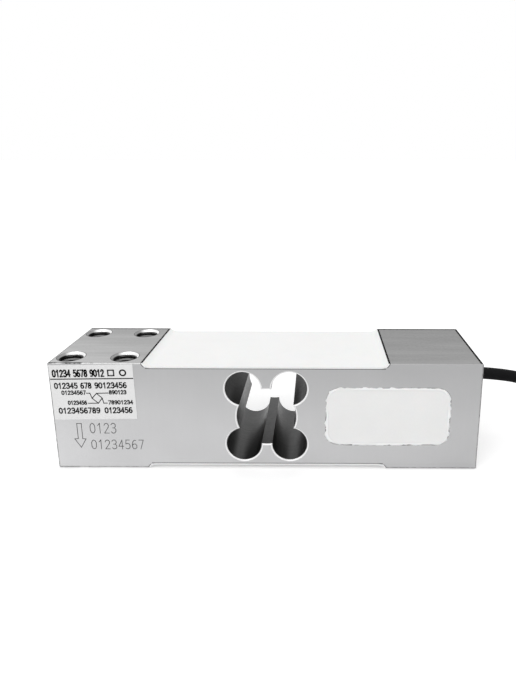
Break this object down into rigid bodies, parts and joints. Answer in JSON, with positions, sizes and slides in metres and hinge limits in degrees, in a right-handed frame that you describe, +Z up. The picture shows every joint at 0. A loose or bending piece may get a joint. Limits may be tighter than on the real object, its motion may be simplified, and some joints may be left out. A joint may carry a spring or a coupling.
{
  "type": "single point load cell",
  "caption": "Rectangular aluminium bending-beam load cell with a milled cut-out, sealed gauge circuit, tapped ends and a short shielded cable.",
  "frame": {"origin": "middle of the underside of the aluminium beam, on the plane of its lower mounting faces", "axes": "+X along the beam from the load end to the fixed end where the cable leaves, +Y from the labelled face to the back, +Z up, against the load"},
  "size_m": [0.2479, 0.0593, 0.04],
  "materials": {
    "body_aluminium": "fine milled, clear, with broken edges",
    "label_film": "white film with black print",
    "white_silicone": "smooth matt white",
    "cable_jacket": "satin black",
    "circuit_board": "green solder resist",
    "adhesive_foam": "soft foam tape",
    "terminal_copper": "bright tinned copper",
    "ribbon_insulation": "grey ribbon",
    "gauge_film": "amber film with a grey foil grid",
    "resistor_ceramic": "dark glaze with tinned end caps",
    "core_red": "insulated core with a tinned tip",
    "core_black": "insulated core with a tinned tip",
    "core_green": "insulated core with a tinned tip",
    "core_white": "insulated core with a tinned tip",
    "core_drain": "insulated core with a tinned tip"
  },
  "bodies": {
    "root": {"board_adhesive_pad": "adhesive_foam", "bridge_ribbon_bottom": "ribbon_insulation", "bridge_ribbon_top": "ribbon_insulation", "cable": "cable_jacket", "cable_coil": "cable_jacket", "cable_end_seal": "white_silicone", "compensation_board": "circuit_board", "core_black_at_board": "core_black", "core_black_free_end": "core_black", "core_drain_free_end": "core_drain", "core_green_at_board": "core_green", "core_green_free_end": "core_green", "core_red_at_board": "core_red", "core_red_free_end": "core_red", "core_white_at_board": "core_white", "core_white_free_end": "core_white", "gauge_leads_bottom": "terminal_copper", "gauge_leads_top": "terminal_copper", "input_trim_resistor": "resistor_ceramic", "pocket_sealant": "white_silicone", "potting_bottom": "white_silicone", "potting_top": "white_silicone", "rating_label": "label_film", "span_temperature_resistor": "resistor_ceramic", "span_trim_resistor": "resistor_ceramic", "spring_element": "body_aluminium", "strain_gauge_bottom_left": "gauge_film", "strain_gauge_bottom_right": "gauge_film", "strain_gauge_top_left": "gauge_film", "strain_gauge_top_right": "gauge_film", "terminal_strip_bottom": "terminal_copper", "terminal_strip_top": "terminal_copper", "zero_temperature_resistor": "resistor_ceramic", "zero_trim_resistor": "resistor_ceramic"}
  },
  "joints": []
}
